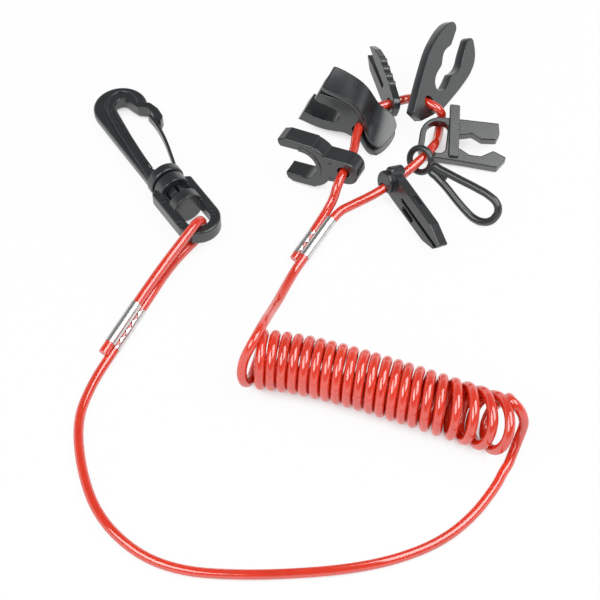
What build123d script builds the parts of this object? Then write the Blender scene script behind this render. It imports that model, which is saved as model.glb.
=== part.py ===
from build123d import *
from math import cos, pi, radians, sin, tan
import os

# Kill switch lanyard: a red coiled safety cord with a swivel snap hook at one end
# and a ring of seven moulded switch keys at the other. Millimetres, +Z up, laid on a table.

# Cord and its coil
CORD_R = 2.0
COIL_R = 12.3

# Crimped ferrules: two cords side by side in one folded sleeve
FERRULE_LENGTH = 20.2
FERRULE_WALL = 0.35
FERRULE_PITCH = 4.06
SEAM_WIDTH = 1.1
SEAM_WAVE = 0.5
SEAM_TEETH = 9
HOOK_FERRULE_LOW = (-74.5, -105.4, 5.0)
HOOK_FERRULE_HIGH = (-64.4, -88.2, 8.0)
HOOK_FERRULE_ROLL = -66
KEY_FERRULE_LOW = (1.1, -59.25, 3.9)
KEY_FERRULE_HIGH = (12.5, -42.5, 7.9)
KEY_FERRULE_ROLL = 24

# Swivel snap hook and eye share one axis, pointing from the collar to the hook's head
AXIS_POINT = (-56.3, -21.7, 8.1)
AXIS_HEADING = 122.0
AXIS_DIP = 5.0
HOOK_THICK = 4.4
RIB_THICK = 5.6
HEAD_RADIUS = 11.7
COLLAR_RADIUS = 7.9
COLLAR_FRONT = 1.2
COLLAR_BACK = -3.0
POST_RADIUS = 3.0
POST_FIT = 0.06
POST_HEAD_RADIUS = 4.1
POST_HEAD_LENGTH = 3.6
POST_SLIT = 1.3

# Gate leaf and its pin
PIN_PLACE = (-0.9, -5.6)
PIN_RADIUS = 0.9
PIN_FIT = 0.06
PIN_LENGTH = 6.6
LEAF_THICK = 1.3
LEAF_WIDTH = 4.0

# Swivel eye
EYE_TOP = 2.0
EYE_BOTTOM = -4.6
EYE_HALF = 9.5
EYE_OPENING_HALF = 5.2
EYE_FRONT = -4.6
EYE_ARC_CENTRE = -28.0
LUG_RADIUS = 7.1
LUG_ONE = (-3.6, -9.2)
LUG_TWO = (-15.6, -20.5)

# Key plates and the holes the cord runs through
HOLE_R = 2.75
ROUND_FORK_THICK = 8.5
BENT_FORK_DEPTH = 13.0
BENT_EAR_THICK = 5.0
RIDGED_FORK_THICK = 3.2
KEYHOLE_FORK_THICK = 4.1
CROSS_CLIP_THICK = 5.0
TEARDROP_ROD_R = 1.7
EYELET_ROD_R = 1.35
EYELET_RADIUS = 5.2
SLOTTED_FORK_THICK = 4.6

# Cord from its cut end, through the hook ferrule and the eye, round to the coil
HOOK_CORD_POINTS = [
    (-77.85, -109.48, 6.09),
    (-61.85, -82.22, 10.84),
    (-54.8, -70.3, 14.0),
    (-47.6, -58.5, 15.7),
    (-39.6, -47.3, 15.7),
    (-39.6, -47.3, 3.7),
    (-47.4, -57.9, 3.7),
    (-53.5, -70.3, 5.6),
    (-60.25, -82.75, 7.15),
    (-76.65, -110.7, 2.28),
    (-81.9, -121.5, 2.0),
    (-86.6, -138.3, 2.0),
    (-83.5, -161.3, 2.0),
    (-75.8, -182.8, 2.0),
    (-60.5, -198.8, 2.0),
    (-44.0, -206.3, 2.0),
    (-24.0, -207.9, 2.0),
    (-3.0, -207.5, 2.0),
    (19.0, -205.5, 2.0),
    (38.0, -201.1, 2.0),
    (54.5, -193.5, 2.0),
    (67.0, -182.5, 2.0),
    (76.5, -167.3, 2.0),
    (83.6, -155.5, 2.6),
    (88.6, -148.7, 9.5),
    (87.4, -146.5, 19.4),
    (81.8, -144.7, 22.4),
    (75.0, -143.9, 22.2),
]

# Cord from the coil, through the key ferrule, the seven keys and back to its cut end
KEY_CORD_POINTS = [
    (-14.0, -121.3, 3.9),
    (-21.5, -121.7, 2.9),
    (-24.2, -115.9, 7.2),
    (-20.6, -107.1, 8.2),
    (-15.4, -96.8, 6.0),
    (-9.6, -83.5, 2.8),
    (-3.0, -69.7, 3.3),
    (0.66, -63.18, 4.07),
    (15.82, -40.92, 9.35),
    (22.0, -36.3, 8.4),
    (34.5, -27.2, 6.4),
    (47.6, -17.2, 9.2),
    (57.0, -7.9, 11.7),
    (59.8, 3.7, 3.6),
    (61.4, 13.1, 3.0),
    (62.8, 15.9, 12.9),
    (52.6, 21.9, 12.4),
    (46.8, 22.7, 8.6),
    (35.5, 17.5, 9.2),
    (30.2, 15.7, 10.4),
    (24.6, -0.3, 12.5),
    (23.6, -13.5, 15.2),
    (16.4, -31.9, 17.9),
    (14.0, -37.0, 8.1),
    (-1.67, -60.03, 2.64),
]

COIL_POINTS = [(-20.0, -116.5, 12.3), (4.0, -117.9, 12.3), (36.0, -129.9, 12.3), (80.0, -148.3, 12.3)]


# Straight runs joined by tangent arcs
def cord_path(points):
    corners = [Vector(*point) for point in points]
    edges = []
    start = corners[0]
    for before, here, after in zip(corners, corners[1:], corners[2:]):
        back = before - here
        forth = after - here
        half_turn = radians(180 - back.get_angle(forth)) / 2
        reach = 0.45 * min(back.length, forth.length)
        radius = reach / tan(half_turn)
        inward = (back.normalized() + forth.normalized()).normalized()
        first = here + back.normalized() * reach
        last = here + forth.normalized() * reach
        middle = here + inward * (radius / cos(half_turn) - radius)
        print(f"  bend radius {radius:.1f}")
        edges.append(Line(start, first))
        edges.append(ThreePointArc(first, middle, last))
        start = last
    edges.append(Line(start, corners[-1]))
    return Wire([edge.edge() for edge in edges])


def cord_tube(points, radius):
    path = cord_path(points)
    section = Plane(origin=path @ 0, z_dir=path % 0) * Circle(radius)
    tube = sweep(section, path=path)
    print(f"  length {path.length:.1f}, volume ratio {tube.volume / (path.length * pi * radius**2):.4f}")
    return tube


# Closed outline with rounded corners, as a face on the given plane
def outline(points, radius):
    return make_face(FilletPolyline(*points, radius=radius, close=True).edges())


def plate(points, radius, back, front):
    return extrude(Plane.XY.offset(back) * outline(points, radius), front - back)


def block(x_range, y_range, z_range):
    size = [high - low for low, high in (x_range, y_range, z_range)]
    middle = [(high + low) / 2 for low, high in (x_range, y_range, z_range)]
    return Pos(*middle) * Box(*size)


def drum(radius, x_range, centre=(0, 0)):
    length = x_range[1] - x_range[0]
    middle = (x_range[0] + x_range[1]) / 2
    return Pos(middle, *centre) * Rot(0, 90, 0) * Cylinder(radius, length)


# Edges that lie flat at the given heights
def face_edges(part, heights):
    found = []
    for edge in part.edges():
        box = edge.bounding_box()
        for height in heights:
            if abs(box.min.Z - height) < 0.01 and abs(box.max.Z - height) < 0.01:
                found.append(edge)
    return found


# Frame of the hook and eye: x towards the head, y to its left, z up
def axis_plane():
    heading = radians(AXIS_HEADING)
    dip = radians(AXIS_DIP)
    forward = (cos(heading) * cos(dip), sin(heading) * cos(dip), -sin(dip))
    upward = (cos(heading) * sin(dip), sin(heading) * sin(dip), cos(dip))
    return Plane(origin=AXIS_POINT, x_dir=forward, z_dir=upward)


HOOK_OPENING = [
    (1.0, -1.4),
    (6.4, 2.9),
    (46.6, -2.2),
    (50.6, -4.0),
    (50.0, -8.4),
    (45.5, -9.4),
    (41.2, -10.6),
    (38.3, -13.9),
    (30.0, -14.1),
    (22.0, -15.0),
    (20.0, -30.0),
    (-6.0, -30.0),
    (-6.0, -8.0),
]

HOOK_RIB = [
    (-1.0, 6.9),
    (47.4, 2.1),
    (52.6, 0.2),
    (54.4, -6.2),
    (52.9, -10.6),
    (48.6, -12.6),
    (43.6, -13.6),
    (40.8, -16.3),
    (36.0, -17.4),
    (30.6, -16.9),
    (27.8, -13.9),
    (30.6, -11.0),
    (-1.0, -11.0),
]


def hook_body():
    half = HOOK_THICK / 2
    rib = RIB_THICK / 2
    spine = plate([(-1.0, 7.3), (46.9, 6.9), (46.9, -6.0), (-1.0, -4.0)], 0, -half, half)
    head = Pos(46.9, -4.8) * Cylinder(HEAD_RADIUS, HOOK_THICK)
    inner = plate(HOOK_RIB, [1, 3, 4, 4, 3, 3, 3, 2, 2.5, 2, 1.3, 0.5, 0.5], -rib, rib)
    opening = plate(HOOK_OPENING, [1, 3.2, 2, 3, 2.5, 2, 2.5, 1.6, 1, 1, 1, 1, 1], -9, 9)
    groove_line = Polyline((3.0, 4.9), (46.0, 0.2))
    groove = extrude(Plane.XY.offset(rib - 0.35) * trace(groove_line, 1.1), 2)
    body = (spine + head) - opening
    body = fillet(face_edges(body, (half, -half)), 1.1)
    inner = inner - opening
    inner = fillet(face_edges(inner, (rib, -rib)), 0.3)
    return body + (inner - groove)


# Collar, swivel post with its split head, and the slot for the gate
def hook_collar():
    collar = drum(COLLAR_RADIUS, (COLLAR_BACK, COLLAR_FRONT))
    collar = fillet(collar.edges().filter_by(GeomType.CIRCLE), 0.7)
    head_front = LUG_ONE[1] - 0.3
    head_back = head_front - POST_HEAD_LENGTH
    post = drum(POST_RADIUS, (head_back + 0.5, COLLAR_BACK + 0.5))
    head = drum(POST_HEAD_RADIUS, (head_back, head_front))
    back_rim = head.edges().filter_by(GeomType.CIRCLE).sort_by(Axis.X)[0]
    head = chamfer(back_rim, 0.9)
    slit = block((head_back - 1, head_front + 2.5), (-POST_SLIT / 2, POST_SLIT / 2), (-9, 9))
    return collar + ((post + head) - slit)


def snap_hook():
    x, y = PIN_PLACE
    body = hook_body()
    shoulder = block((COLLAR_BACK + 0.4, 60), (-30, 30), (-9, 9))
    hook = (body & shoulder) + hook_collar()
    half_slot = LEAF_WIDTH / 2 + 0.3
    slot = block((x - 1.3, x + 6), (y - 1.6, y + 1.75), (-half_slot, half_slot))
    bore = Pos(x, y) * Cylinder(PIN_RADIUS + PIN_FIT, PIN_LENGTH + 0.6)
    return hook - slot - bore


# Springy leaf that closes the hook's mouth, on a pin through the collar
def spring_gate():
    x, y = PIN_PLACE
    pin = Pos(x, y) * Cylinder(PIN_RADIUS, PIN_LENGTH)
    line = Spline((x, y), (4.6, -7.3), (11.2, -9.2), (18.6, -11.1), (27.0, -12.5), (35.4, -12.7))
    leaf = extrude(Plane.XY.offset(-LEAF_WIDTH / 2) * trace(line, LEAF_THICK), LEAF_WIDTH)
    leaf = fillet(face_edges(leaf, (LEAF_WIDTH / 2, -LEAF_WIDTH / 2)), 0.3)
    return pin + leaf


# Racetrack eye with two round lugs carrying the post
def swivel_eye():
    middle = (EYE_TOP + EYE_BOTTOM) / 2
    frame = Pos(EYE_ARC_CENTRE, 0, middle) * Cylinder(EYE_HALF, EYE_TOP - EYE_BOTTOM)
    body = plate(
        [
            (EYE_ARC_CENTRE, EYE_HALF),
            (EYE_FRONT - 1.4, EYE_HALF),
            (EYE_FRONT, EYE_HALF - 2.4),
            (EYE_FRONT, 2.4 - EYE_HALF),
            (EYE_FRONT - 1.4, -EYE_HALF),
            (EYE_ARC_CENTRE, -EYE_HALF),
        ],
        [0, 1.2, 1.2, 1.2, 1.2, 0],
        EYE_BOTTOM,
        EYE_TOP,
    )
    frame = frame + body
    frame = frame - Pos(EYE_ARC_CENTRE, 0) * Cylinder(EYE_OPENING_HALF, 20)
    frame = frame - block((EYE_ARC_CENTRE, -8.0), (-EYE_OPENING_HALF, EYE_OPENING_HALF), (-9, 9))
    frame = fillet(face_edges(frame, (EYE_TOP, EYE_BOTTOM)), 0.9)
    lugs = drum(LUG_RADIUS, LUG_ONE[::-1]) + drum(LUG_RADIUS, LUG_TWO[::-1])
    lugs = fillet(lugs.edges().filter_by(GeomType.CIRCLE), 0.4)
    eye = frame + lugs
    return eye - drum(POST_RADIUS + POST_FIT, (LUG_ONE[1] - 1, 0))


# Folded sleeve with a toothed seam, along x, cords side by side in y, seam on top
def ferrule():
    wall = CORD_R + FERRULE_WALL
    half_pitch = FERRULE_PITCH / 2
    ends = (-FERRULE_LENGTH / 2, FERRULE_LENGTH / 2)
    sleeve = drum(wall, ends, (half_pitch, 0)) + drum(wall, ends, (-half_pitch, 0))
    sleeve = sleeve + block(ends, (-half_pitch, half_pitch), (-wall, 0.6))
    bores = drum(CORD_R, (-30, 30), (half_pitch, 0)) + drum(CORD_R, (-30, 30), (-half_pitch, 0))
    step = FERRULE_LENGTH / SEAM_TEETH
    upper = []
    lower = []
    for index in range(SEAM_TEETH + 3):
        along = ends[0] + (index - 1) * step
        shift = SEAM_WAVE if index % 2 else -SEAM_WAVE
        upper.append((along, shift + SEAM_WIDTH / 2))
        lower.append((along, shift - SEAM_WIDTH / 2))
    seam_face = outline(upper + lower[::-1], [0.1] + [0.45] * (2 * len(upper) - 2) + [0.1])
    seam = extrude(Plane.XY.offset(-1.2) * seam_face, 5)
    web = block((-30, 30), (-0.35, 0.35), (-1.1, 1.1))
    return sleeve - bores - seam - web


def ferrule_plane(low, high, roll):
    low = Vector(*low)
    high = Vector(*high)
    along = (high - low).normalized()
    right = along.cross(Vector(0, 0, 1)).normalized()
    upward = right.cross(along)
    turn = radians(roll)
    across = right * cos(turn) + upward * sin(turn)
    return Plane(origin=(low + high) * 0.5, x_dir=along, z_dir=across.cross(along))


# Hole for the cord, along the cord's own direction through the key
def cord_hole(place, direction, radius=HOLE_R):
    return Plane(origin=place, z_dir=direction) * Cylinder(radius, 60)


def key_plane(place, x_dir, z_dir):
    z_dir = Vector(*z_dir).normalized()
    x_dir = Vector(*x_dir)
    x_dir = (x_dir - z_dir * x_dir.dot(z_dir)).normalized()
    return Plane(origin=place, x_dir=x_dir, z_dir=z_dir)


# Thick fork with a round mouth
def round_fork_key():
    back = -ROUND_FORK_THICK
    lobe = plate([(-6.2, -5.4), (10.0, -5.6), (10.0, 7.6), (-6.2, 5.8)], [5.3, 1, 1, 5.3], back, 0)
    ring = Pos(17.4, 1.5, back / 2) * Cylinder(11.3, -back)
    jaws = plate(
        [
            (14.0, -9.8),
            (27.0, -10.4),
            (30.2, -9.2),
            (30.2, -7.2),
            (28.0, -4.0),
            (27.4, 7.0),
            (27.8, 9.4),
            (27.2, 11.4),
            (24.8, 12.8),
            (14.0, 12.8),
        ],
        0.4,
        back,
        0,
    )
    mouth_face = Pos(19.4, 1.4) * Circle(7.0) + Pos(29.4, 1.4) * Rectangle(20, 14.0)
    mouth = extrude(Plane.XY.offset(back - 1) * mouth_face, -back + 4)
    body = (lobe + ring + jaws) - mouth
    body = fillet(face_edges(body, (0, back)), 0.7)
    rim_face = Pos(19.4, 1.4) * Circle(9.0) - Pos(30.4, 1.4) * Rectangle(20, 30)
    rim = extrude(Plane.XY.offset(-0.95) * rim_face, 1.4) - mouth
    rim = fillet(face_edges(rim, (0.45,)), 0.3)
    marks = Pos(6.0, -3.1) * Rot(0, 0, 20) * Box(2.2, 0.5, 0.8)
    marks = marks + Pos(6.0, 5.0) * Rot(0, 0, -20) * Box(2.2, 0.5, 0.8)
    place = key_plane((18.83, -25.7, 17.15), (-0.899, 0.412, -0.145), (-0.436, -0.873, 0.11))
    return place * (body + rim - marks) - cord_hole((18.83, -25.7, 17.15), (7.2, 18.4, -2.7))


# Deep fork whose top strap sweeps down into a thumb tab
def bent_fork_key():
    back = -BENT_FORK_DEPTH
    fork = plate(
        [
            (18.4, -13.4),
            (21.4, -7.3),
            (15.6, -4.4),
            (8.4, -4.2),
            (8.4, 1.6),
            (22.0, 1.6),
            (26.4, 8.2),
            (14.3, 8.4),
            (6.0, 6.4),
            (2.2, -3.0),
            (2.2, -11.0),
            (8.0, -12.9),
        ],
        [0.5, 0.5, 2.4, 2.8, 2.8, 0.6, 0.4, 3, 1, 1, 1, 1],
        back,
        0,
    )
    ear = plate(
        [(4.5, -11.6), (0.2, -8.6), (-3.6, -2.0), (-4.6, 3.0), (-3.4, 6.2), (3.0, 6.4), (7.4, 6.6)],
        [0.5, 3, 3, 3, 2, 2, 0.3],
        -BENT_EAR_THICK,
        0,
    )
    strap_line = FilletPolyline(
        (17.9, -12.9), (6.8, -11.7), (0.6, -8.2), (-3.8, -1.6), (-7.4, 3.9), (-15.4, 6.4), radius=[12, 7, 9, 7]
    )
    strap = extrude(Plane.XY.offset(back) * trace(strap_line, 2.2), -back)
    trim = block((-30, 2.0), (-30, 30), (back - 1, -10.4))
    strap = strap - trim
    second_line = FilletPolyline((0.4, 3.4), (-2.6, 7.4), (-7.8, 9.3), radius=4)
    second = extrude(Plane.XY.offset(-6.0) * trace(second_line, 1.9), 10.0)
    key = fork + ear + strap + second
    key = fillet(face_edges(key, (0,)), 0.25)
    place = key_plane((25.25, 4.5, 12.85), (-0.925, 0.368, 0.097), (-0.359, -0.928, 0.10))
    return place * key - cord_hole((25.95, 3.5, 12.1), (5.6, 16.0, -2.1))


# Narrow fork with a ribbed grip on its upper edge
def ridged_fork_key():
    back = -RIDGED_FORK_THICK
    body = plate(
        [
            (-5.4, -5.0),
            (6.0, -6.0),
            (22.0, -6.0),
            (28.0, -4.4),
            (33.6, -0.9),
            (24.0, -0.6),
            (9.6, -1.1),
            (9.6, 0.9),
            (24.0, 2.0),
            (32.6, 3.1),
            (26.0, 6.2),
            (6.0, 5.6),
            (-5.4, 5.0),
        ],
        [4, 1, 4, 4, 0.3, 4, 0.8, 0.8, 4, 0.3, 4, 4, 4],
        back,
        0,
    )
    for along in (6.5, 11.0, 15.5, 20.0):
        body = body + Pos(along, -4.9, back / 2) * Cylinder(1.7, -back)
    body = fillet(face_edges(body, (0, back)), 0.35)
    place = key_plane((40.6, 19.85, 8.9), (-0.243, 0.970, 0.0), (-0.94, -0.235, 0.25))
    return place * (Pos(0, 0, -back / 2) * body) - cord_hole((40.6, 19.85, 8.9), (11.3, 5.2, -0.6))


# Long plate with a keyhole slot between two blade-like jaws
def keyhole_fork_key():
    back = -KEYHOLE_FORK_THICK
    body = plate(
        [
            (-13.4, 7.0),
            (-13.4, 0.0),
            (2.0, -8.8),
            (27.0, -15.4),
            (36.2, -14.4),
            (42.4, -8.8),
            (41.8, -6.4),
            (38.2, -6.0),
            (28.4, -4.4),
            (22.6, -5.6),
            (16.6, 0.3),
            (6.9, -2.4),
            (5.4, 2.4),
            (10.0, 3.1),
            (17.0, 3.0),
            (20.0, 5.2),
            (28.6, 3.4),
            (37.4, 4.6),
            (39.4, 7.6),
            (31.8, 11.2),
            (24.2, 13.0),
            (18.0, 13.4),
        ],
        [0.6, 0.6, 4, 5, 5, 2, 1.2, 1, 1.5, 2, 0.8, 2.0, 2.0, 1, 1.5, 2, 2, 1.2, 1.2, 6, 4, 2],
        back,
        0,
    )
    body = fillet(face_edges(body, (0, back)), 0.35)
    place = key_plane((57.9, 18.8, 12.68), (0.373, 0.924, 0.089), (0.779, -0.364, 0.511))
    return place * body - cord_hole((57.9, 18.8, 12.68), (10.2, -6.0, 0.5))


# Two-armed clip with a back loop and a cross strap
def cross_clip_key():
    back = -CROSS_CLIP_THICK
    frame = plate(
        [
            (-6.8, 12.2),
            (26.0, 12.4),
            (26.8, 7.6),
            (25.6, 4.4),
            (19.4, 3.8),
            (15.0, 6.0),
            (9.0, 4.4),
            (9.0, -0.6),
            (15.0, -3.9),
            (20.0, -4.0),
            (25.0, -0.8),
            (30.8, -3.2),
            (27.2, -8.6),
            (10.0, -7.6),
            (0.0, -7.4),
            (-7.4, -6.8),
        ],
        [9, 0.5, 1, 1, 2, 2, 1, 1, 2, 2, 1, 0.6, 0.8, 4, 4, 5],
        back,
        0,
    )
    loop_hole = plate([(-4.4, 9.8), (4.6, 9.8), (4.6, -4.9), (-4.6, -4.4)], [4.6, 2.6, 2.6, 2.6], back - 1, 2)
    frame = frame - loop_hole
    frame = fillet(face_edges(frame, (0, back)), 0.5)
    strap = plate([(4.3, 18.2), (8.7, 18.2), (10.6, -6.2), (6.3, -6.2)], 0.7, back + 1.6, 1.3)
    strap = fillet(face_edges(strap, (1.3,)), 0.35)
    place = key_plane((58.6, -1.6, 8.4), (0.991, -0.124, -0.043), (0.0, -0.25, 0.968))
    return place * (frame + strap)


# Long wire-like loop with a small eyelet
def teardrop_key():
    rod = TEARDROP_ROD_R
    eyelet = Torus(EYELET_RADIUS, EYELET_ROD_R)
    loop_line = FilletPolyline(
        (6.2, 1.4), (9.4, 1.7), (32.0, 6.1), (41.6, 5.9), (41.0, -2.2), (33.0, -7.5), (8.6, -2.3),
        radius=[4, 8, 5, 5, 6], close=False,
    )
    path = Wire(loop_line.edges())
    loop = sweep(Plane(origin=path @ 0, z_dir=path % 0) * Circle(rod), path=path)
    neck = extrude(Plane.XY.offset(-1.2) * outline([(3.4, 2.6), (13.6, 3.0), (13.6, -3.6), (3.4, -3.0)], 0.6), 2.4)
    key = eyelet + ((loop + neck) - Cylinder(EYELET_RADIUS, 20))
    place = key_plane((51.8, -13.0, 10.1), (0.745, -0.664, -0.068), (-0.531, -0.652, 0.541))
    return place * key


# Flat two-pronged key with oval slots and a round grip head
def slotted_fork_key():
    back = -SLOTTED_FORK_THICK
    body = plate(
        [
            (-5.2, 5.0),
            (5.0, 5.6),
            (30.0, 5.6),
            (39.6, 2.4),
            (39.0, 0.8),
            (10.0, 1.0),
            (10.0, -0.2),
            (34.0, -0.6),
            (38.4, -1.8),
            (30.0, -4.4),
            (5.0, -4.6),
            (-4.6, -4.2),
        ],
        [4, 2, 5, 0.5, 0.5, 0.5, 0.5, 1, 0.5, 4, 2, 4],
        back,
        0,
    )
    slots = plate([(12.5, -1.2), (21.0, -1.2), (21.0, -3.2), (12.5, -3.2)], 0.95, back - 1, 1)
    body = body - slots
    body = fillet(face_edges(body, (0, back)), 0.35)
    head = Pos(-0.4, 0.5, 1.1) * Cylinder(4.9, 3.0)
    head = fillet(head.edges().filter_by(GeomType.CIRCLE).sort_by(Axis.Z)[-1:], 0.8)
    grip = Pos(-1.2, 5.0, back / 2) * Cylinder(2.6, -back + 2.4)
    grip = fillet(grip.edges().filter_by(GeomType.CIRCLE), 0.8)
    recess = block((14.0, 19.0), (4.9, 8.0), (back + 1.2, -1.2))
    key = Pos(0, 0, -back / 2) * (body + head + grip - recess)
    place = key_plane((40.0, -23.05, 7.8), (0.5, -0.85, -0.04), (-0.822, -0.471, 0.321))
    return place * key - cord_hole((38.9, -23.85, 7.2), (13.1, 10.0, 2.4))


def save(name, part):
    solids = part.solids()
    box = part.bounding_box()
    print(f"{name}: {len(solids)} solid, volume {part.volume:.0f}, z {box.min.Z:.2f} to {box.max.Z:.2f}")
    export_step(part, f"parts/{name}.step")


def main():
    os.makedirs("parts", exist_ok=True)
    frame = axis_plane()
    save("snap_hook", frame * snap_hook())
    save("spring_gate", frame * spring_gate())
    save("swivel_eye", frame * swivel_eye())
    save("hook_ferrule", ferrule_plane(HOOK_FERRULE_LOW, HOOK_FERRULE_HIGH, HOOK_FERRULE_ROLL) * ferrule())
    save("key_ferrule", ferrule_plane(KEY_FERRULE_LOW, KEY_FERRULE_HIGH, KEY_FERRULE_ROLL) * ferrule())
    save("round_fork_key", round_fork_key())
    save("bent_fork_key", bent_fork_key())
    save("ridged_fork_key", ridged_fork_key())
    save("keyhole_fork_key", keyhole_fork_key())
    save("cross_clip_key", cross_clip_key())
    save("teardrop_key", teardrop_key())
    save("slotted_fork_key", slotted_fork_key())
    save("cord_hook_end", cord_tube(HOOK_CORD_POINTS, CORD_R))
    save("cord_key_end", cord_tube(KEY_CORD_POINTS, CORD_R))
    save("coil", cord_tube(COIL_POINTS, COIL_R))


main()
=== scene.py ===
import math

import bmesh
import bpy
from mathutils import Matrix, Vector


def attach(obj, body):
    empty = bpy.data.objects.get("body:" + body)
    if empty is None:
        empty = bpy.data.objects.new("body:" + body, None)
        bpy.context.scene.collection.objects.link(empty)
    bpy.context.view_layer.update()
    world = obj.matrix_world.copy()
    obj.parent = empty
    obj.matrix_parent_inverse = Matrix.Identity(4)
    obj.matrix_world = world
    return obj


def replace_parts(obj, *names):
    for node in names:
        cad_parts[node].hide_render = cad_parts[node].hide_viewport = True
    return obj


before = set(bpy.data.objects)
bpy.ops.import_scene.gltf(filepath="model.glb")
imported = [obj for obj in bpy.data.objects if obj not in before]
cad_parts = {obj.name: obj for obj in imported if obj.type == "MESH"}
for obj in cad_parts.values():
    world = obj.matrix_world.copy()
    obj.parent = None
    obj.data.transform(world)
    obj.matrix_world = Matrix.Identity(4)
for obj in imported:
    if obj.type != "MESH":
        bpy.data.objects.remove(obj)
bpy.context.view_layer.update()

# Camera: a long lens looking down on the table at 54 degrees, as the photograph does.
# The lanyard fills the square frame, so the camera stands 0.92 m away.
AIM = Vector((0.0008, -0.0789, 0.0))
CAMERA_DISTANCE = 0.922
CAMERA_ELEVATION = math.radians(54)
CAMERA_LENS = 135
CAMERA_FRAME = 36
camera = bpy.data.objects.new("camera", bpy.data.cameras.new("camera"))
camera.data.lens = CAMERA_LENS
camera.data.sensor_width = CAMERA_FRAME
away = Vector((0, -math.cos(CAMERA_ELEVATION), math.sin(CAMERA_ELEVATION)))
camera.location = AIM + away * CAMERA_DISTANCE
camera.rotation_euler = (math.pi / 2 - CAMERA_ELEVATION, 0, 0)
bpy.context.scene.collection.objects.link(camera)
bpy.context.scene.camera = camera

# The cord: one length of 4 mm soft red plastic, drawn smooth and glossy over a thin core.
# It starts as a cut stub at the hook's ferrule, loops through the swivel eye, lies on the table,
# is wound into a close coil, strings the seven keys and ends as a stub at their ferrule.
CORD_DIAMETER = 0.004
HOOK_END_ROUTE = [
    (-0.07785, -0.10948, 0.00609),
    (-0.06185, -0.08222, 0.01084),
    (-0.0545, -0.0708, 0.0134),
    (-0.0468, -0.0590, 0.0151),
    (-0.0396, -0.0473, 0.0157),
    (-0.0396, -0.0473, 0.0037),
    (-0.0488, -0.0585, 0.0037),
    (-0.0552, -0.0708, 0.0056),
    (-0.06025, -0.08275, 0.00715),
    (-0.07665, -0.1107, 0.00228),
    (-0.0819, -0.1215, 0.0020),
    (-0.0870, -0.1383, 0.0020),
    (-0.0842, -0.1613, 0.0020),
    (-0.0765, -0.1828, 0.0020),
    (-0.0611, -0.1990, 0.0020),
    (-0.0440, -0.2063, 0.0020),
    (-0.0240, -0.2079, 0.0020),
    (-0.0030, -0.2075, 0.0020),
    (0.0190, -0.2055, 0.0020),
    (0.0380, -0.2011, 0.0020),
    (0.0545, -0.1935, 0.0020),
    (0.0670, -0.1825, 0.0020),
    (0.0765, -0.1690, 0.0020),
    (0.0794, -0.1627, 0.0020),
    (0.0815, -0.1598, 0.0025),
    (0.0831, -0.1562, 0.0040),
    (0.0854, -0.1515, 0.0075),
    (0.0867, -0.1493, 0.0105),
    (0.0874, -0.1483, 0.0140),
    (0.0868, -0.1472, 0.0180),
    (0.0847, -0.1454, 0.0215),
    (0.0820, -0.1436, 0.0231),
    (0.0815, -0.1403, 0.0207),
]
KEY_END_ROUTE = [
    (-0.0170, -0.1134, 0.0024),
    (-0.0184, -0.1186, 0.0023),
    (-0.0200, -0.1230, 0.0046),
    (-0.0216, -0.1254, 0.0092),
    (-0.0223, -0.1252, 0.0146),
    (-0.0213, -0.1220, 0.0196),
    (-0.0182, -0.1192, 0.0256),
    (-0.0148, -0.1124, 0.0266),
    (-0.0127, -0.1040, 0.0216),
    (-0.0110, -0.0950, 0.0140),
    (-0.0080, -0.0845, 0.0076),
    (-0.0030, -0.0697, 0.0033),
    (0.00066, -0.06318, 0.00407),
    (0.01582, -0.04092, 0.00935),
    (0.0220, -0.0363, 0.0084),
    (0.0345, -0.0272, 0.0064),
    (0.0476, -0.0172, 0.0092),
    (0.0570, -0.0079, 0.0117),
    (0.0598, 0.0037, 0.0036),
    (0.0614, 0.0131, 0.0030),
    (0.0622, 0.0130, 0.0122),
    (0.0516, 0.0199, 0.0121),
    (0.0468, 0.0227, 0.0086),
    (0.0355, 0.0175, 0.0092),
    (0.0302, 0.0157, 0.0104),
    (0.0246, -0.0003, 0.0125),
    (0.0236, -0.0135, 0.0152),
    (0.0164, -0.0319, 0.0179),
    (0.0140, -0.0370, 0.0081),
    (-0.00167, -0.06003, 0.00264),
]
COIL_AXIS = [
    Vector((-0.0195, -0.1166, 0.0123)),
    Vector((0.0060, -0.1172, 0.0123)),
    Vector((0.0380, -0.1315, 0.0123)),
    Vector((0.0820, -0.1489, 0.0123)),
]
AXIS_STEPS = 400
COIL_RADIUS = 0.01025
COIL_SWELL = 1.045
COIL_LAST_TURN = 21.31
TURN_POINTS = 16
COIL_START = 0.0024
COIL_PITCH = 0.0045
SPREAD_FROM_TURN = 14
SPREAD_GROWTH = 0.000121
OPEN_PER_TURN = 0.01
OPEN_AT_TAIL = 0.56
OPEN_FROM_TURN = 15.9
OPEN_OVER_TURNS = 4.9
LEAN_AT_HEAD = -0.02
LEAN_PER_TURN = -0.004
LEAN_FORWARD = 0.11
FORWARD_TURNS = 7
LEVEL_SHARE = 0.568
STEEP_SHARE = 0.823
BACK_SHIFT = 0.0006
UP = Vector((0, 0, 1))
ROUTE_STEPS = 5
TUBE_ROUNDNESS = 5


# The line through the middle of the coil, and the way it runs there
def coil_axis(share):
    rest = 1 - share
    a, b, c, d = COIL_AXIS
    place = a * rest**3 + b * 3 * share * rest**2 + c * 3 * share**2 * rest + d * share**3
    along = (b - a) * rest**2 + (c - b) * 2 * share * rest + (d - c) * share**2
    return place, along.normalized()


def ease(share):
    share = min(1, max(0, share))
    return share * share * (3 - 2 * share)


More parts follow.
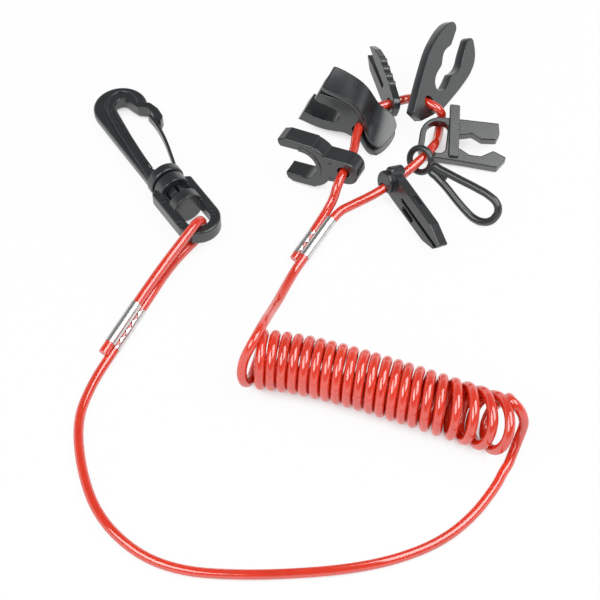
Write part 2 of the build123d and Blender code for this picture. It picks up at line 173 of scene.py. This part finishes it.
# The turns lean back in their upper halves, and the last ones towards the tail open out.
# Both tilts are shared between the upright and the level plane, as they show from above the front.
def coil_turns():
    places = [coil_axis(step / AXIS_STEPS)[0] for step in range(AXIS_STEPS + 1)]
    reached = [0.0]
    for before, here in zip(places, places[1:]):
        reached.append(reached[-1] + (here - before).length)
    radius = COIL_RADIUS * 2 / (1 + math.cos(math.pi / TURN_POINTS))
    turns = []
    for step in range(round(COIL_LAST_TURN * TURN_POINTS), 1, -1):
        turn = step / TURN_POINTS
        distance = COIL_START + COIL_PITCH * turn + SPREAD_GROWTH * max(0, turn - SPREAD_FROM_TURN) ** 2
        share = sum(reach < distance for reach in reached) / AXIS_STEPS
        centre, along = coil_axis(share)
        towards = along.cross(UP)
        open_out = OPEN_PER_TURN * turn + OPEN_AT_TAIL * ease((turn - OPEN_FROM_TURN) / OPEN_OVER_TURNS)
        lean_back = LEAN_AT_HEAD + LEAN_PER_TURN * turn + LEAN_FORWARD * max(0, 1 - turn / FORWARD_TURNS)
        high = LEVEL_SHARE * lean_back + STEEP_SHARE * open_out
        near = LEVEL_SHARE * open_out - STEEP_SHARE * lean_back
        angle = math.tau * turn + math.pi
        rise, reach_out = math.cos(angle), math.sin(angle)
        offset = UP * rise + towards * reach_out + along * (high * rise + near * reach_out)
        turns.append(centre + offset * radius + along * BACK_SHIFT * max(0, -reach_out))
    return turns


def cord_curve(name, points, diameter):
    curve = bpy.data.curves.new(name, "CURVE")
    curve.dimensions = "3D"
    curve.resolution_u = ROUTE_STEPS
    curve.bevel_depth = diameter / 2
    curve.bevel_resolution = TUBE_ROUNDNESS
    curve.use_fill_caps = True
    spline = curve.splines.new("NURBS")
    spline.points.add(len(points) - 1)
    for point, place in zip(spline.points, points):
        point.co = (*place, 1)
    spline.order_u = 3
    spline.use_endpoint_u = True
    piece = bpy.data.objects.new(name, curve)
    bpy.context.scene.collection.objects.link(piece)
    return piece


class Signal:
    """A shader socket that can be used in sums."""

    def __init__(self, finish, socket):
        self.finish = finish
        self.socket = socket

    def sum_with(self, operation, first, second):
        return self.finish.add("ShaderNodeMath", {"operation": operation}, {0: first, 1: second})

    def __add__(self, other):
        return self.sum_with("ADD", self, other)

    def __radd__(self, other):
        return self.sum_with("ADD", other, self)

    def __sub__(self, other):
        return self.sum_with("SUBTRACT", self, other)

    def __rsub__(self, other):
        return self.sum_with("SUBTRACT", other, self)

    def __mul__(self, other):
        return self.sum_with("MULTIPLY", self, other)

    def __rmul__(self, other):
        return self.sum_with("MULTIPLY", other, self)


class Finish:
    """A material that is built node by node."""

    def __init__(self, owner):
        owner.use_nodes = True
        self.owner = owner
        self.tree = owner.node_tree
        self.tree.nodes.clear()

    def add(self, kind, settings=(), sockets=(), output=0):
        node = self.tree.nodes.new(kind)
        for name, value in dict(settings).items():
            if name == "stops":
                while len(node.color_ramp.elements) < len(value):
                    node.color_ramp.elements.new(1)
                for element, (position, shade) in zip(node.color_ramp.elements, value):
                    element.position = position
                    element.color = (shade, shade, shade, 1)
            else:
                setattr(node, name, value)
        for name, value in dict(sockets).items():
            if isinstance(value, Signal):
                self.tree.links.new(value.socket, node.inputs[name])
            else:
                node.inputs[name].default_value = value
        return Signal(self, node.outputs[output]) if node.outputs else None

    def place(self):
        return self.add("ShaderNodeTexCoord", output="Object")

    def noise(self, scale, detail):
        sockets = {"Vector": self.place(), "Scale": scale, "Detail": detail}
        return self.add("ShaderNodeTexNoise", {}, sockets)

    def ramp(self, signal, *stops):
        return self.add("ShaderNodeValToRGB", {"stops": stops}, {0: signal})

    # Sockets 6 and 7 and output 2 of the Mix node are its colours
    def blend(self, share, first, second):
        return self.add("ShaderNodeMix", {"data_type": "RGBA"}, {0: share, 6: first, 7: second}, 2)

    def bump(self, height, distance, **sockets):
        return self.add("ShaderNodeBump", {}, {"Height": height, "Distance": distance, **sockets})

    def surface(self, **sockets):
        named = {name.replace("_", " "): value for name, value in sockets.items()}
        shader = self.add("ShaderNodeBsdfPrincipled", {}, named)
        self.add("ShaderNodeOutputMaterial", {}, {"Surface": shader})
        return self.owner


CORD_RED = (0.78, 0.042, 0.011, 1)
CORD_DEEP = (0.70, 0.034, 0.009, 1)
CORD_DEPTH = 0.0015
CORD_DEPTH_COLOUR = (1.0, 0.08, 0.04)
CORD_ROUGHNESS = 0.05
STREAK_ROUGHNESS = 0.03
CORD_CLOUDS = 55
CORD_STREAKS = 420
CORD_WAVES = 60
CORD_WAVE_HEIGHT = 0.00002


def cord_finish():
    finish = Finish(bpy.data.materials.new("cord_red"))
    cloud = finish.noise(CORD_CLOUDS, 2)
    streak = finish.noise(CORD_STREAKS, 2)
    wave = finish.noise(CORD_WAVES, 1)
    return finish.surface(
        Base_Color=finish.blend(finish.ramp(cloud, (0.35, 0.0), (0.7, 1.0)), CORD_RED, CORD_DEEP),
        Roughness=CORD_ROUGHNESS + STREAK_ROUGHNESS * streak,
        IOR=1.7,
        Specular_IOR_Level=1.0,
        Subsurface_Weight=0.6,
        Subsurface_Radius=CORD_DEPTH_COLOUR,
        Subsurface_Scale=CORD_DEPTH,
        Normal=finish.bump(wave, CORD_WAVE_HEIGHT),
    )


cord = cord_curve("cord", HOOK_END_ROUTE + coil_turns() + KEY_END_ROUTE, CORD_DIAMETER)
cord.data.materials.append(cord_finish())
coil_points = cord.data.splines[0].points[len(HOOK_END_ROUTE) : -len(KEY_END_ROUTE)]
for point in coil_points:
    point.radius = COIL_SWELL
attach(cord, "cord")
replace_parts(cord, "cord_hook_end", "coil", "cord_key_end")

# The two ferrules: thin folded sleeves of bright nickel-plated metal, crimped round two cords.
# The press leaves a toothed seam, fine scratches and small dents.
NICKEL = (0.78, 0.78, 0.77, 1)
NICKEL_WORN = (0.60, 0.60, 0.60, 1)
FERRULE_ROUGHNESS = 0.22
SCRATCH_ROUGHNESS = 0.16
FERRULE_SCRATCHES = 900
FERRULE_DENTS = 120
DENT_DEPTH = 0.0003


def ferrule_finish():
    finish = Finish(bpy.data.materials.new("ferrule_nickel"))
    scratches = finish.noise(FERRULE_SCRATCHES, 3)
    dents = finish.noise(FERRULE_DENTS, 2)
    return finish.surface(
        Base_Color=finish.blend(finish.ramp(scratches, (0.5, 0.0), (0.75, 1.0)), NICKEL, NICKEL_WORN),
        Metallic=1.0,
        Roughness=FERRULE_ROUGHNESS + SCRATCH_ROUGHNESS * scratches,
        Normal=finish.bump(dents, DENT_DEPTH),
    )


nickel = ferrule_finish()
for node in ("hook_ferrule", "key_ferrule"):
    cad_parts[node].material_slots[0].material = nickel

# The snap hook, its gate, the swivel eye and four of the keys: moulded in charcoal plastic.
# The mould leaves a fine satin grain. Every edge is painted paler, partly as handling wear and partly as a
# painted edge highlight.
CHARCOAL = (0.012, 0.015, 0.017, 1)
CHARCOAL_PALE = (0.018, 0.022, 0.024, 1)
# Pale edge colour: partly handling wear, partly a painted edge highlight
CHARCOAL_EDGE_WEAR_AND_HIGHLIGHT = (0.045, 0.050, 0.053, 1)
SATIN_ROUGHNESS = 0.20
CLOUD_ROUGHNESS = 0.12
MOULD_CLOUDS = 90
MOULD_GRAIN = 1900
GRAIN_HEIGHT = 0.00003
EDGE_ROUNDING_WIDTH = 0.0004


def satin_finish():
    finish = Finish(bpy.data.materials.new("moulded_satin"))
    cloud = finish.noise(MOULD_CLOUDS, 3)
    grain = finish.noise(MOULD_GRAIN, 2)
    colour = finish.blend(finish.ramp(cloud, (0.35, 0.0), (0.75, 1.0)), CHARCOAL, CHARCOAL_PALE)
    rounded = finish.add("ShaderNodeBevel", {"samples": 4}, {"Radius": EDGE_ROUNDING_WIDTH})
    sharp = finish.add("ShaderNodeNewGeometry", output="Normal")
    flatness = finish.add(
        "ShaderNodeVectorMath", {"operation": "DOT_PRODUCT"}, {0: rounded, 1: sharp}, "Value"
    )
    # Painted edge highlight and wear: every edge found by the bevel is made paler
    edge_wear_and_highlight = finish.ramp((1 - flatness) * 4 + (grain - 0.5) * 0.5, (0.3, 0.0), (1.0, 1.0))
    return finish.surface(
        Base_Color=finish.blend(edge_wear_and_highlight, colour, CHARCOAL_EDGE_WEAR_AND_HIGHLIGHT),
        Roughness=SATIN_ROUGHNESS + CLOUD_ROUGHNESS * cloud,
        IOR=1.55,
        Specular_IOR_Level=0.9,
        Normal=finish.bump(grain, GRAIN_HEIGHT, Strength=0.6, Normal=rounded),
    )


satin = satin_finish()
for node in (
    "snap_hook",
    "spring_gate",
    "swivel_eye",
    "round_fork_key",
    "ridged_fork_key",
    "cross_clip_key",
    "slotted_fork_key",
):
    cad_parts[node].material_slots[0].material = satin

# The keyhole key: one flat moulding with two jaws, a round seat between them and a slot.
# It hangs on the cord by a hole through its root. Each key is drawn in millimetres in its own plane,
# whose place is a point in metres, the way x runs and the way the plane faces.
MM = 0.001
WELD = 1e-6
FLAT_FACING = 0.9999
OUTLINE_STEPS = 8
EDGE_STEPS = 2
KEYHOLE_PLACE = ((0.0579, 0.0188, 0.01268), (0.373, 0.924, 0.089), (0.779, -0.364, 0.511))
KEYHOLE_THICK = 4.2 * MM
KEY_EDGE = 0.35 * MM
KEYHOLE_OUTLINE = [
    (-13.6, 7.0, "corner"),
    (-6.6, 8.9),
    (7.1, 12.0),
    (16.3, 13.5),
    (23.2, 13.3),
    (30.6, 12.0),
    (35.5, 9.9),
    (38.0, 7.2),
    (37.2, 4.9),
    (34.0, 4.0),
    (28.4, 3.3, "corner"),
    (22.3, 5.3),
    (16.6, 3.4, "corner"),
    (9.0, 3.5),
    (6.3, 1.3),
    (6.4, -1.6),
    (8.9, -4.0),
    (11.6, -4.6),
    (18.2, -4.7, "corner"),
    (21.4, -6.6),
    (25.6, -7.4),
    (30.6, -6.3, "corner"),
    (35.5, -5.4),
    (39.6, -5.2),
    (41.5, -7.2),
    (40.2, -10.0),
    (35.6, -14.0),
    (29.7, -15.1),
    (22.0, -14.1),
    (9.5, -10.9),
    (2.0, -8.7, "corner"),
    (-6.0, -3.9),
    (-12.6, 0.4, "corner"),
]


def oval(x, y, half_wide, half_high):
    return [(x + half_wide * a, y + half_high * b) for a, b in ((1, 0), (0, 1), (-1, 0), (0, -1))]


def drawing_plane(place, x_dir, z_dir):
    z_axis = Vector(z_dir).normalized()
    x_axis = Vector(x_dir)
    x_axis = (x_axis - z_axis * x_axis.dot(z_axis)).normalized()
    plane = Matrix((x_axis, z_axis.cross(x_axis), z_axis)).transposed().to_4x4()
    plane.translation = place
    return plane


def bezier(curve, points, closed=True):
    spline = curve.splines.new("BEZIER")
    spline.bezier_points.add(len(points) - 1)
    spline.use_cyclic_u = closed
    for point, (x, y, *kind) in zip(spline.bezier_points, points):
        point.co = (x * MM, y * MM, 0)
        point.handle_left_type = point.handle_right_type = "VECTOR" if kind else "AUTO"


def drawn_mesh(shape):
    bpy.context.scene.collection.objects.link(shape)
    shape_now = shape.evaluated_get(bpy.context.evaluated_depsgraph_get())
    mesh = bpy.data.meshes.new_from_object(shape_now)
    bpy.data.objects.remove(shape)
    return mesh


def flat_moulding(outlines, front, back, edge):
    curve = bpy.data.curves.new("outline", "CURVE")
    curve.dimensions = "2D"
    curve.fill_mode = "BOTH"
    curve.resolution_u = OUTLINE_STEPS
    curve.extrude = (front - back) / 2 - edge
    curve.bevel_depth = edge
    curve.bevel_resolution = EDGE_STEPS
    curve.offset = -edge
    for points in outlines:
        bezier(curve, points)
    mesh = drawn_mesh(bpy.data.objects.new("outline", curve))
    mesh.transform(Matrix.Translation((0, 0, (front + back) / 2)))
    return mesh


def joined(parts):
    shell = bmesh.new()
    for part in parts:
        shell.from_mesh(part)
    return shell


def moulded_piece(name, shell, place, body):
    mesh = bpy.data.meshes.new(name)
    shell.to_mesh(mesh)
    mesh.transform(drawing_plane(*place))
    mesh.materials.append(satin)
    piece = bpy.data.objects.new(name, mesh)
    bpy.context.scene.collection.objects.link(piece)
    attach(piece, body)
    return piece


def fit_key(node, parts, place):
    shell = joined(parts)
    bmesh.ops.remove_doubles(shell, verts=shell.verts, dist=WELD)
    bmesh.ops.recalc_face_normals(shell, faces=shell.faces)
    for face in shell.faces:
        face.smooth = abs(face.normal.z) < FLAT_FACING
    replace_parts(moulded_piece(node + "_moulding", shell, place, node), node)


keyhole_bore = oval(-2.6, 0.6, 2.6, 3.6)
keyhole_plate = flat_moulding([KEYHOLE_OUTLINE, keyhole_bore], 0, -KEYHOLE_THICK, KEY_EDGE)
fit_key("keyhole_fork_key", [keyhole_plate], KEYHOLE_PLACE)

# The bent key: a deep fork with a strap over its back that sweeps down into a broad thumb tab.
# A second, shorter tab lies just under the first. All of it is one moulding.
BENT_PLACE = ((0.02525, 0.0045, 0.01285), (-0.925, 0.368, 0.097), (-0.359, -0.928, 0.10))
BENT_DEPTH = 13.0 * MM
STRAP_THICK = 2.1 * MM
STRAP_SIDE = -1
STRAP_EDGE = 0.45 * MM
STRAP_EDGE_STEPS = 3
STRAP_SMOOTHING = 3
BENT_OUTLINE = [
    (20.7, -5.2, "corner"),
    (19.2, -9.2, "corner"),
    (13.3, -9.8),
    (5.6, -9.2),
    (2.0, -7.2),
    (-0.8, -3.8),
    (-2.4, 0.6),
    (-3.8, 5.0, "corner"),
    (-3.4, 8.4, "corner"),
    (1.0, 8.5),
    (4.9, 7.9),
    (9.2, 9.1),
    (14.9, 10.3),
    (26.0, 9.7, "corner"),
    (24.1, 4.6, "corner"),
    (20.3, 5.0),
    (16.7, 5.1),
    (13.4, 4.8),
    (10.2, 3.5),
    (8.3, 0.6),
    (8.8, -2.4),
    (13.8, -4.0),
    (18.7, -4.3),
]
BENT_BORE = [(1.9, 3.7), (-0.5, 6.2), (-2.6, 3.7), (-0.5, 1.2)]
STRAP_FRONT = [
    (18.4, -11.2, 0.0),
    (11.4, -10.9, 0.0),
    (5.8, -9.9, 0.0),
    (2.6, -8.2, 0.0),
    (0.2, -5.6, 0.0),
    (-1.9, -2.3, 0.4),
    (-4.2, 1.2, 1.9),
    (-6.6, 4.0, 3.6),
    (-9.0, 5.6, 4.2),
    (-10.6, 6.4, 3.4),
]
STRAP_BACK = [
    (18.0, -14.0, -13.0),
    (11.1, -12.6, -13.0),
    (6.1, -10.9, -13.0),
    (2.5, -8.4, -13.0),
    (0.1, -5.7, -13.0),
    (-2.6, -2.2, -13.0),
    (-5.3, -0.5, -13.0),
    (-8.6, 0.7, -13.0),
    (-12.0, 1.9, -12.6),
    (-14.0, 2.6, -11.2),
]
LOWER_FRONT = [
    (-1.4, 4.2, 2.4),
    (-4.4, 6.3, 4.0),
    (-7.2, 8.1, 5.4),
    (-9.4, 9.2, 5.5),
    (-10.8, 9.8, 4.4),
]
LOWER_BACK = [
    (-1.4, 3.0, -9.0),
    (-5.4, 3.9, -10.5),
    (-9.6, 5.1, -11.5),
    (-12.6, 5.9, -11.4),
    (-14.2, 6.5, -10.2),
]
STRAP_COLUMNS = (0, 0.12, 0.5, 0.88, 1)
TAB_CROWN = 2.4 * MM
CROWN_SHARES = (0, 0.7, 1, 0.7, 0)


# A strap between its front and back edge, whose last row is pushed out to a rounded tip
def bent_strap(front, back):
    rows = []
    for near, far in zip(front, back):
        near, far = Vector(near) * MM, Vector(far) * MM
        rows.append([near.lerp(far, share) for share in STRAP_COLUMNS])
    outwards = ((rows[-1][0] - rows[-2][0]) + (rows[-1][-1] - rows[-2][-1])).normalized()
    for place, push in zip(rows[-1], CROWN_SHARES):
        place += outwards * TAB_CROWN * push
    wide = len(STRAP_COLUMNS)
    quads = []
    for row in range(len(rows) - 1):
        for corner in range(row * wide, row * wide + wide - 1):
            quads.append((corner, corner + 1, corner + wide + 1, corner + wide))
    mesh = bpy.data.meshes.new("strap")
    mesh.from_pydata([place for row in rows for place in row], [], quads)
    strap = bpy.data.objects.new("strap", mesh)
    smooth = strap.modifiers.new("smooth", "SUBSURF")
    smooth.levels = smooth.render_levels = STRAP_SMOOTHING
    thick = strap.modifiers.new("thick", "SOLIDIFY")
    thick.thickness = STRAP_THICK
    thick.offset = STRAP_SIDE
    rounded = strap.modifiers.new("rounded", "BEVEL")
    rounded.width = STRAP_EDGE
    rounded.segments = STRAP_EDGE_STEPS
    return drawn_mesh(strap)


bent_plate = flat_moulding([BENT_OUTLINE, BENT_BORE], 0, -BENT_DEPTH, KEY_EDGE)
fit_key(
    "bent_fork_key",
    [bent_plate, bent_strap(STRAP_FRONT, STRAP_BACK), bent_strap(LOWER_FRONT, LOWER_BACK)],
    BENT_PLACE,
)

# The teardrop key: a rod in the shape of a long drop, moulded in one with a round eyelet.
# A thin web fills the neck between the two legs.
TEARDROP_PLACE = ((0.0518, -0.0130, 0.0101), (0.745, -0.664, -0.068), (-0.531, -0.652, 0.541))
TEARDROP_ROD = 1.7 * MM
EYELET_ROD = 1.4 * MM
EYELET_RADIUS = 5.2
ROD_ROUNDNESS = 5
TEARDROP_LOOP = [
    (6.6, 1.2),
    (10.0, 1.9),
    (19.9, 3.4),
    (28.1, 4.7),
    (34.9, 5.3),
    (38.9, 4.6),
    (41.1, 2.4),
    (41.4, -0.8),
    (40.0, -4.2),
    (37.2, -6.3),
    (33.3, -7.2),
    (29.0, -6.7),
    (22.8, -5.2),
    (16.1, -3.2),
    (10.0, -1.9),
    (6.6, -1.2),
]
TEARDROP_NECK = [
    (3.9, 3.3, "corner"),
    (7.6, 2.5),
    (12.6, 3.2),
    (14.4, 0.0),
    (12.6, -3.2),
    (7.6, -2.5),
    (3.9, -3.3, "corner"),
]
NECK_HALF = 1.2 * MM
NECK_EDGE = 0.8 * MM


def moulded_rod(points, radius, closed=True):
    curve = bpy.data.curves.new("rod", "CURVE")
    curve.dimensions = "3D"
    curve.resolution_u = OUTLINE_STEPS
    curve.bevel_depth = radius
    curve.bevel_resolution = ROD_ROUNDNESS
    curve.use_fill_caps = not closed
    bezier(curve, points, closed)
    return drawn_mesh(bpy.data.objects.new("rod", curve))


neck = flat_moulding([TEARDROP_NECK], NECK_HALF, -NECK_HALF, NECK_EDGE)
drop = moulded_rod(TEARDROP_LOOP, TEARDROP_ROD)
eyelet = moulded_rod(oval(0, 0, EYELET_RADIUS, EYELET_RADIUS), EYELET_ROD)
fit_key("teardrop_key", [drop, eyelet, neck], TEARDROP_PLACE)

# The hook's rounded ribs and the eye's round ejector marks, both left by the mould.
# Two ribs run up the spine and round the head, half sunk in its face.
HOOK_PLACE = ((-0.0563, -0.0217, 0.0081), (-0.5279, 0.8448, -0.0872), (-0.0462, 0.0739, 0.9962))
RIB_ROD = 0.42 * MM
OUTER_RIB_HEIGHT = 2.7 * MM
INNER_RIB_HEIGHT = 2.85 * MM
OUTER_RIB = [
    (6.7, 5.9),
    (15.9, 5.3),
    (25.9, 4.4),
    (36.1, 3.4),
    (44.8, 1.9),
    (50.1, -0.6),
    (53.6, -4.2),
    (54.3, -8.2),
    (52.1, -11.3),
    (48.1, -12.4),
    (43.8, -11.6),
]
INNER_RIB = [
    (6.0, 2.4),
    (14.8, 1.9),
    (24.9, 1.0),
    (34.3, 0.1),
    (42.2, -0.7),
    (46.5, -1.7),
    (49.6, -4.2),
    (50.0, -6.6),
]
MARK_RADIUS = 1.35
MARK_ROD = 0.13 * MM
EYE_FACE_HEIGHT = 2.0 * MM
EYE_MARKS = [(-11.9, 7.6), (-27.4, 8.3), (-29.9, -6.4)]


def raised_line(points, radius, height, closed):
    line = moulded_rod(points, radius, closed)
    line.transform(Matrix.Translation((0, 0, height)))
    return line


ribs = [
    raised_line(OUTER_RIB, RIB_ROD, OUTER_RIB_HEIGHT, False),
    raised_line(INNER_RIB, RIB_ROD, INNER_RIB_HEIGHT, False),
]
marks = []
for x, y in EYE_MARKS:
    marks.append(raised_line(oval(x, y, MARK_RADIUS, MARK_RADIUS), MARK_ROD, EYE_FACE_HEIGHT, True))
for name, body, lines in (("hook_ribs", "hook", ribs), ("eye_marks", "eye", marks)):
    moulded_piece(name, joined(lines), HOOK_PLACE, body).data.shade_smooth()

# The table: a white sheet that runs out of sight, with two broad softboxes side by side above it.
# It shows the camera and the glossy parts a plain white and still takes the lanyard's shadow.
FLOOR_WHITE = (0.88, 0.88, 0.88, 1)
FLOOR_REACH = 6.0
FAR_WHITE = ((0.25, 0.94), (1.0, 1.0))
CONTACT_REACH = 0.012
CONTACT_SHADE = ((0.05, 0.0), (0.4, 1.0))
SOFTBOX_SIZE = (0.9, 1.0)
SOFTBOX_GAP = 0.45
SOFTBOX_HEIGHT = 1.0
SOFTBOX_TURN = math.radians(20)
SOFTBOX_CENTRE = Vector((0.0, -0.34, SOFTBOX_HEIGHT))
SOFTBOX_RADIANCE = 3.7


def floor_finish():
    finish = Finish(bpy.data.materials.new("table_white"))
    matt = finish.add("ShaderNodeBsdfDiffuse", {}, {"Color": FLOOR_WHITE})
    lit = finish.add("ShaderNodeEmission", {}, {"Color": (1, 1, 1, 1), "Strength": 1.0})
    path = finish.add("ShaderNodeLightPath", output="Is Camera Ray")
    glossy = Signal(finish, path.socket.node.outputs["Is Glossy Ray"])
    through = Signal(finish, path.socket.node.outputs["Is Transmission Ray"])
    distance = finish.add("ShaderNodeVectorMath", {"operation": "LENGTH"}, {0: finish.place()}, "Value")
    far = finish.ramp(distance, *FAR_WHITE)
    openness = finish.add("ShaderNodeAmbientOcclusion", {"samples": 8}, {"Distance": CONTACT_REACH}, "AO")
    open_floor = finish.ramp(openness, *CONTACT_SHADE)
    seen = path + glossy + through
    shown = finish.add("ShaderNodeMixShader", {}, {0: seen * far * open_floor, 1: matt, 2: lit})
    finish.add("ShaderNodeOutputMaterial", {}, {"Surface": shown})
    return finish.owner


floor_mesh = bpy.data.meshes.new("table")
corners = [(x * FLOOR_REACH, y * FLOOR_REACH, 0) for x, y in ((-1, -1), (1, -1), (1, 1), (-1, 1))]
floor_mesh.from_pydata(corners, [], [(0, 1, 2, 3)])
floor = bpy.data.objects.new("table", floor_mesh)
floor.data.materials.append(floor_finish())
bpy.context.scene.collection.objects.link(floor)

for side in (-1, 1):
    lamp = bpy.data.lights.new("softbox", "AREA")
    lamp.shape = "RECTANGLE"
    lamp.size, lamp.size_y = SOFTBOX_SIZE
    lamp.energy = SOFTBOX_RADIANCE * math.pi * SOFTBOX_SIZE[0] * SOFTBOX_SIZE[1]
    softbox = bpy.data.objects.new("softbox", lamp)
    shift = side * (SOFTBOX_SIZE[0] + SOFTBOX_GAP) / 2
    softbox.location = SOFTBOX_CENTRE + Vector((math.cos(SOFTBOX_TURN), math.sin(SOFTBOX_TURN), 0)) * shift
    softbox.rotation_euler = (0, 0, SOFTBOX_TURN)
    bpy.context.scene.collection.objects.link(softbox)

# The room: dim overhead and white near the horizon, where the backdrop stands.
# It fills the shadows, and the cord and the nickel mirror its pale band.
ROOM_SHADES = ((0.0, 1.0), (0.14, 0.9), (0.35, 0.3), (0.75, 0.15))
world = bpy.data.worlds.new("room")
bpy.context.scene.world = world
room = Finish(world)
heading = room.add("ShaderNodeTexCoord", output="Generated")
height = room.add("ShaderNodeSeparateXYZ", {}, {0: heading}, "Z")
shade = room.ramp(height, *ROOM_SHADES)
sky = room.add("ShaderNodeBackground", {}, {"Color": shade, "Strength": 1.0})
room.add("ShaderNodeOutputWorld", {}, {"Surface": sky})
bpy.context.scene.view_settings.view_transform = "Standard"
